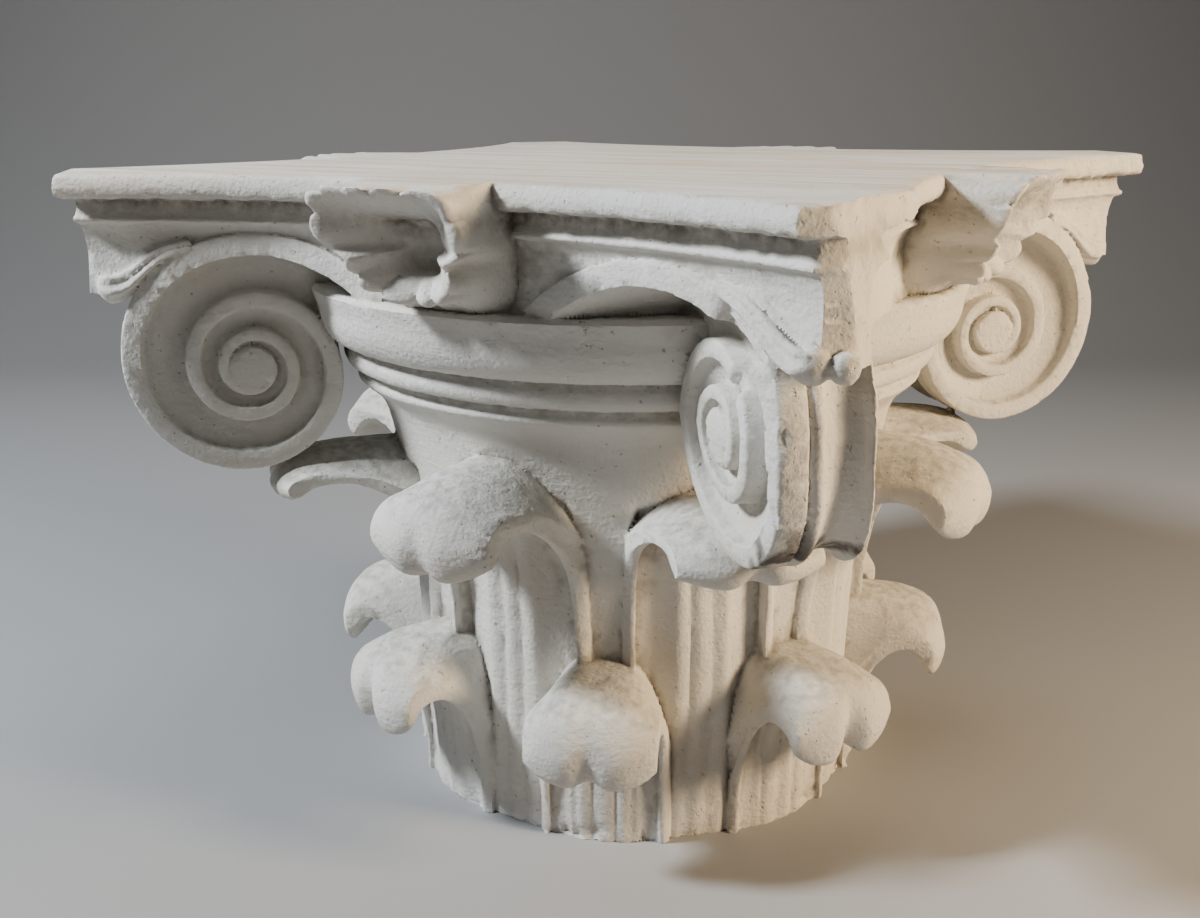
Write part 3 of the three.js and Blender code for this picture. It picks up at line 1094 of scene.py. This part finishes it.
@dataclass
class Weathering:
    """How the cast is worn, damaged and soiled, and where shade is painted into its creases and under its
    top band. Lengths and heights are in millimetres.
    """

    gap: BreakCut
    level: float = 1.0
    swell: float = 0.5
    swell_size: float = 30.0
    tooth: float = 0.2
    tooth_size: float = 6.0
    band_rough: float = 1.2
    band_rise: Span = (386.0, 390.0)
    band_fall: Span = (393.0, 397.0)
    break_rough: float = 1.3
    rasp_out: Span = (322.0, 328.0)
    rasp_side: Span = (-14.0, -6.0)
    rasp_rise: Span = (346.0, 350.0)
    rasp_fall: Span = (368.0, 372.0)
    rasp_stretch: Triple = (0.1, 0.1, 1.0)
    pit_depth: float = 1.3
    rim_out: Span = (292.0, 304.0)
    rim_rise: Span = (215.0, 225.0)
    rim_fall: Span = (330.0, 340.0)
    foot_loss: float = 8.0
    foot_height: Span = (2.0, 14.0)
    relax_steps: int = 6
    # The next five set the darkening of creases and of the recess under the top band: dirt together with
    # painted shade, kept lighter in the volutes' channels.
    crease_depth: Span = (0.9, 2.3)
    crease_dirt_and_shade: float = 0.5
    scroll_spared: float = 0.8
    recess_z: float = 386.0
    recess_dirt_and_shade: float = 0.35
    dust_below: float = 300.0
    soot_z: float = 232.0
    soot_out: Span = (262.0, 290.0)

    def wear(self, cast: Piece) -> None:
        """Makes the surface uneven, as hand-finished plaster is, and rough where it is damaged.

        Args:
            cast: The fused cast.
        """
        points = vertex_rows(cast, "co")
        facing = vertex_rows(cast, "normal")
        height = points[:, 2] / MM
        level = (height > HEIGHT - self.level) | (height < self.level)
        lift = self.swell * rough(points, self.swell_size, 21)
        lift += self.tooth * grain(points, self.tooth_size, 33)
        band = within(height, self.band_rise, self.band_fall) * (facing[:, 2] < 0.3)
        lift += self.band_rough * band * rough(points, 7, 41)
        lift += self.break_rough * self.damage(points) * rough(points, 5, 61)
        lift -= self.pit_depth * self.pits(points)
        lift += self.rasped(points) * grain(points * self.rasp_stretch, 3.4, 83)
        foot = (1 - smooth(height, *self.foot_height)) * np.maximum(rough(points, 18, 57) - 0.12, 0)
        lift = np.where(level, 0, lift) - self.foot_loss * foot * (np.abs(facing[:, 2]) < 0.8)
        moved = points + facing * lift[:, None] * MM
        moved[:, 2] = np.clip(moved[:, 2], 0, HEIGHT * MM)
        move_to(cast, moved)

    def diagonal(self, points: np.ndarray) -> tuple[np.ndarray, np.ndarray, np.ndarray]:
        """Where points lie along the broken horn's diagonal, in millimetres.

        Args:
            points: Points in metres.

        Returns:
            The distances out, the offsets to the side and the heights.
        """
        turn = math.radians(BROKEN_HORN)
        out = points[:, 0] * math.sin(turn) - points[:, 1] * math.cos(turn)
        side = points[:, 0] * math.cos(turn) + points[:, 1] * math.sin(turn)
        return out / MM, side / MM, points[:, 2] / MM

    def damage(self, points: np.ndarray) -> np.ndarray:
        """Where the surface is broken or crumbled.

        Args:
            points: Points in metres.

        Returns:
            From 0, whole, to 1, rough.
        """
        out, side, height = self.diagonal(points)
        low = self.gap.low
        edge = self.gap.near + self.gap.side - self.gap.lean * (height - low)
        stump = smooth(out + side, edge - 5, edge - 2) * smooth(height, low - 4, low + 2)
        band = 0.5 * smooth(out, 318, 324) * smooth(height, 389, 393) * (side < 0)
        return np.clip(stump + band, 0, 1)

    def rasped(self, points: np.ndarray) -> np.ndarray:
        """Where the broken horn's end is rasped, from 0 to 1."""
        out, side, height = self.diagonal(points)
        end = smooth(out, *self.rasp_out) * smooth(side, *self.rasp_side)
        return end * within(height, self.rasp_rise, self.rasp_fall)

    def pits(self, points: np.ndarray) -> np.ndarray:
        """Where small pits are: along the front volute's rims, and a few on the rest.

        Args:
            points: Points in metres.

        Returns:
            From 0, none, to 1, the pits' bottoms.
        """
        out, side, height = self.diagonal(points)
        rim = smooth(out, *self.rim_out) * within(height, self.rim_rise, self.rim_fall) * (side < 0)
        strays = 0.3 * smooth(grain(points, 9, 77), 0.66, 0.9)
        return rim * smooth(grain(points, 5, 71), 0.42, 0.8) + strays

    def sunk(self, cast: Piece, points: np.ndarray) -> np.ndarray:
        """How far each vertex lies below its relaxed surroundings.

        Args:
            cast: The finished surface.
            points: Its vertices, in metres.

        Returns:
            Depths in millimetres.
        """
        edges = np.empty(len(cast.data.edges) * 2, np.int32)
        cast.data.edges.foreach_get("vertices", edges)
        first, second = edges.reshape(-1, 2).T
        count = np.bincount(np.concatenate([first, second]), minlength=len(points))[:, None]
        relaxed = points.copy()
        for _ in range(self.relax_steps):
            total = np.zeros_like(relaxed)
            for axis in range(3):
                total[:, axis] = np.bincount(first, relaxed[second, axis], len(points))
                total[:, axis] += np.bincount(second, relaxed[first, axis], len(points))
            relaxed = total / np.maximum(count, 1)
        return ((relaxed - points) * vertex_rows(cast, "normal")).sum(axis=1) / MM

    def soil_and_shade(self, cast: Piece) -> None:
        """Keeps on each vertex how much dirt, dust, streaks and soot it shows, and how much painted shade
        darkens its creases and the recess under the top band.

        Args:
            cast: The finished surface.
        """
        points = vertex_rows(cast, "co")
        upward = vertex_rows(cast, "normal")[:, 2]
        out, _, height = self.diagonal(points)
        radius = np.hypot(points[:, 0], points[:, 1]) / MM
        scroll = smooth(radius, 208, 222) * within(height, (200, 215), (374, 378))
        # Painted shade with dirt: darker where the surface sinks below its surroundings, lighter in the
        # volutes' channels, and darker in the recess under the top band.
        creases = self.crease_dirt_and_shade * (1 - self.scroll_spared * scroll)
        recess = self.recess_dirt_and_shade * bump(height, self.recess_z, 6) * (upward < 0.5)
        soil_and_shade_layers = {
            "dirt_and_painted_shade": creases * smooth(self.sunk(cast, points), *self.crease_depth) + recess,
            "dust": smooth(upward, 0.35, 0.9) * (height < self.dust_below),
            "top": smooth(upward, 0.7, 0.95) * smooth(height, 396, 403),
            "soot": smooth(out, *self.soot_out) * bump(height, self.soot_z, 26),
        }
        for name, values in soil_and_shade_layers.items():
            layer = cast.data.attributes.new(name, "FLOAT", "POINT")
            layer.data.foreach_set("value", values.astype(np.float32))


@dataclass
class Capital:
    """The whole cast: its forms fused, broken, worn and finished."""

    finish: PlasterFinish
    weathering: Weathering
    voxel: float = 1.6
    triangles: int = 196000
    crease_angle: float = 48.0
    front_lean: float = 0.12
    curl_shift: float = -8.0
    chips: tuple[Chip, ...] = (Chip(26, 52, 8.0), Chip(390, 408, 4.5))
    notches: tuple[float, ...] = (0.8, 1.7, 1.2, 1.0, 1.1, 0.9, 1.3, 1.4)

    def forms(self) -> list[Piece]:
        """Models every form of the cast, with the break taken from the front horn.

        Returns:
            The overlapping closed forms.
        """
        abacus = Abacus()
        forms = [Bell().build()]
        broken = [abacus.build()]
        for azimuth in HORN_AZIMUTHS:
            if azimuth == BROKEN_HORN:
                volute = Volute(azimuth, abacus, self.front_lean, self.chips, arched=(-1,))
                curl = HornCurl(azimuth, volute.arched)
                broken.append(volute.build())
            else:
                volute = Volute(azimuth, abacus)
                curl = HornCurl(azimuth, volute.arched, shift=self.curl_shift)
                forms.append(volute.build())
            self.cut(broken[:1], [volute.recess(sign) for sign in volute.arched])
            forms += curl.build()
        self.cut(broken, [self.weathering.gap.build()])
        forms += [Flower(azimuth).build() for azimuth in SIDE_AZIMUTHS]
        for k, notch in enumerate(self.notches):
            forms.append(Leaf(LEAF_STEP * k, Tier.CORNER if k % 2 else Tier.UPPER).build())
            forms.append(Leaf(LEAF_STEP * (k + 0.5), Tier.LOWER, notch).build())
        return forms + broken

    def cut(self, forms: list[Piece], lost: list[Piece]) -> None:
        """Takes closed forms away from others.

        Args:
            forms: The forms to cut.
            lost: What is taken from each of them, and then removed.
        """
        for cutter, form in itertools.product(lost, forms):
            apply_modifier(form, "BOOLEAN", object=cutter, operation="DIFFERENCE", solver="MANIFOLD")
        for cutter in lost:
            bpy.data.objects.remove(cutter)

    def fuse(self, forms: list[Piece]) -> Piece:
        """Joins the forms and remakes them as one closed surface.

        Args:
            forms: The overlapping closed forms.

        Returns:
            The fused cast.
        """
        deselect()
        for form in forms:
            form.select_set(True)
        bpy.context.view_layer.objects.active = forms[0]
        bpy.ops.object.join()
        cast = bpy.context.object
        cast.name = "capital_cast"
        cast.data.remesh_voxel_size = self.voxel * MM
        cast.data.remesh_voxel_adaptivity = 0
        bpy.ops.object.voxel_remesh()
        return cast

    def reduce(self, cast: Piece) -> None:
        """Spends the triangles where the surface bends.

        Args:
            cast: The fused cast.
        """
        cast.data.calc_loop_triangles()
        ratio = self.triangles / len(cast.data.loop_triangles)
        if ratio < 1:
            apply_modifier(cast, "DECIMATE", ratio=ratio, use_collapse_triangulate=True)
        make_active(cast)
        bpy.ops.object.shade_smooth_by_angle(angle=math.radians(self.crease_angle))

    def build(self) -> Piece:
        """Makes the cast and finishes it.

        Returns:
            The piece that stands for the CAD node.
        """
        cast = self.fuse(self.forms())
        log.info("fused: %d vertices", len(cast.data.vertices))
        self.weathering.wear(cast)
        self.reduce(cast)
        self.weathering.soil_and_shade(cast)
        cast.data.materials.clear()
        cast.data.materials.append(self.finish.build())
        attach(cast, "root")
        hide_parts("capital")
        return cast


@dataclass(frozen=True)
class Lamp:
    """A square soft light: its place and side in metres, its power in watts and its tint."""

    name: str
    spot: Triple
    size: float
    power: float
    tint: Triple

    def build(self, aim: Vector) -> None:
        """Adds the light.

        Args:
            aim: The point that it faces.
        """
        data = bpy.data.lights.new(self.name, "AREA")
        data.size = self.size
        data.energy = self.power
        data.color = self.tint
        lamp = bpy.data.objects.new(self.name, data)
        lamp.location = self.spot
        lamp.rotation_euler = (aim - Vector(self.spot)).to_track_quat("-Z", "Y").to_euler()
        bpy.context.scene.collection.objects.link(lamp)


@dataclass
class Studio:
    """A plain pale floor that sweeps up behind, soft lights, and the camera at the photo's angle."""

    eye: Triple = (0.43506, -0.74848, 0.44784)
    azimuth: float = 31.8688
    elevation: float = 15.7542
    roll: float = -0.3554
    lens: float = 39.02
    floor_size: float = 5.0
    backdrop: float = 3.0
    sweep: float = 1.2
    floor_colour: Triple = (0.42, 0.42, 0.43)
    lamps: tuple[Lamp, ...] = (
        Lamp("key", (-1.3, -1.25, 1.6), 0.3, 46, (0.9, 0.96, 1.0)),
        Lamp("warm", (1.5, 0.2, 0.7), 0.35, 20, (1.0, 0.79, 0.54)),
        Lamp("top", (0.2, 0.6, 1.9), 0.7, 5, (1.0, 0.95, 0.88)),
        Lamp("front", (0.3, -2.0, 0.9), 0.5, 1.6, (0.95, 0.98, 1.0)),
    )
    lamp_aim: Triple = (0.0, 0.0, 0.25)
    surround: Triple = (0.85, 0.86, 0.88)
    surround_strength: float = 0.012

    def camera(self) -> Piece:
        """Sets the camera as the photo was taken.

        Returns:
            The camera.
        """
        turn, tilt, roll = (math.radians(a) for a in (self.azimuth, self.elevation, self.roll))
        back = Vector((math.sin(turn) * math.cos(tilt), -math.cos(turn) * math.cos(tilt), math.sin(tilt)))
        right = Vector((0, 0, 1)).cross(back).normalized()
        above = back.cross(right)
        across = math.cos(roll) * right + math.sin(roll) * above
        upward = math.cos(roll) * above - math.sin(roll) * right
        data = bpy.data.cameras.new("camera")
        data.lens = self.lens
        data.sensor_width = 36.0
        data.sensor_fit = "HORIZONTAL"
        camera = bpy.data.objects.new("camera", data)
        bpy.context.scene.collection.objects.link(camera)
        turned = Matrix((across, upward, back)).transposed().to_4x4()
        camera.matrix_world = Matrix.Translation(self.eye) @ turned
        bpy.context.scene.camera = camera
        return camera

    def floor(self) -> Piece:
        """Lays the floor and sweeps it up into a backdrop behind the capital.

        Returns:
            The floor.
        """
        deselect()
        turn = math.radians(self.azimuth)
        bpy.ops.mesh.primitive_plane_add(size=self.floor_size, rotation=(0, 0, turn))
        bpy.ops.object.transform_apply(location=False, rotation=True, scale=False)
        floor = bpy.context.object
        floor.name = "floor"
        away = Vector((-math.sin(turn), math.cos(turn), 0))
        bpy.ops.object.mode_set(mode="EDIT")
        bpy.ops.mesh.select_all(action="DESELECT")
        bpy.ops.object.mode_set(mode="OBJECT")
        for vertex in floor.data.vertices:
            vertex.select = vertex.co.dot(away) > 0
        bpy.ops.object.mode_set(mode="EDIT")
        bpy.ops.mesh.extrude_region_move(TRANSFORM_OT_translate={"value": (0, 0, self.backdrop)})
        bpy.ops.object.mode_set(mode="OBJECT")
        apply_modifier(floor, "BEVEL", width=self.sweep, segments=24, limit_method="ANGLE")
        bpy.ops.object.shade_smooth()
        material = bpy.data.materials.new("floor")
        material.use_nodes = True
        shader = material.node_tree.nodes["Principled BSDF"]
        shader.inputs["Base Color"].default_value = (*self.floor_colour, 1)
        shader.inputs["Roughness"].default_value = 0.9
        floor.data.materials.append(material)
        return floor

    def build(self) -> None:
        """Builds the floor, lights, camera and surround."""
        self.floor()
        self.camera()
        for lamp in self.lamps:
            lamp.build(Vector(self.lamp_aim))
        world = bpy.data.worlds.new("surround")
        world.use_nodes = True
        background = world.node_tree.nodes["Background"]
        background.inputs["Color"].default_value = (*self.surround, 1)
        background.inputs["Strength"].default_value = self.surround_strength
        bpy.context.scene.world = world
        bpy.context.scene.view_settings.look = "AgX - High Contrast"


def main() -> None:
    """Builds the capital and its studio, and reports each piece."""
    gap = BreakCut(near=361.5, side=-13.5, low=313.0)
    cast = Capital(PlasterFinish(), Weathering(gap)).build()
    log.info("%s: %d faces", cast.name, len(cast.data.polygons))
    studio = Studio()
    studio.build()
    log.info("studio: floor, camera and %d lights", len(studio.lamps))


if __name__ == "__main__":
    main()
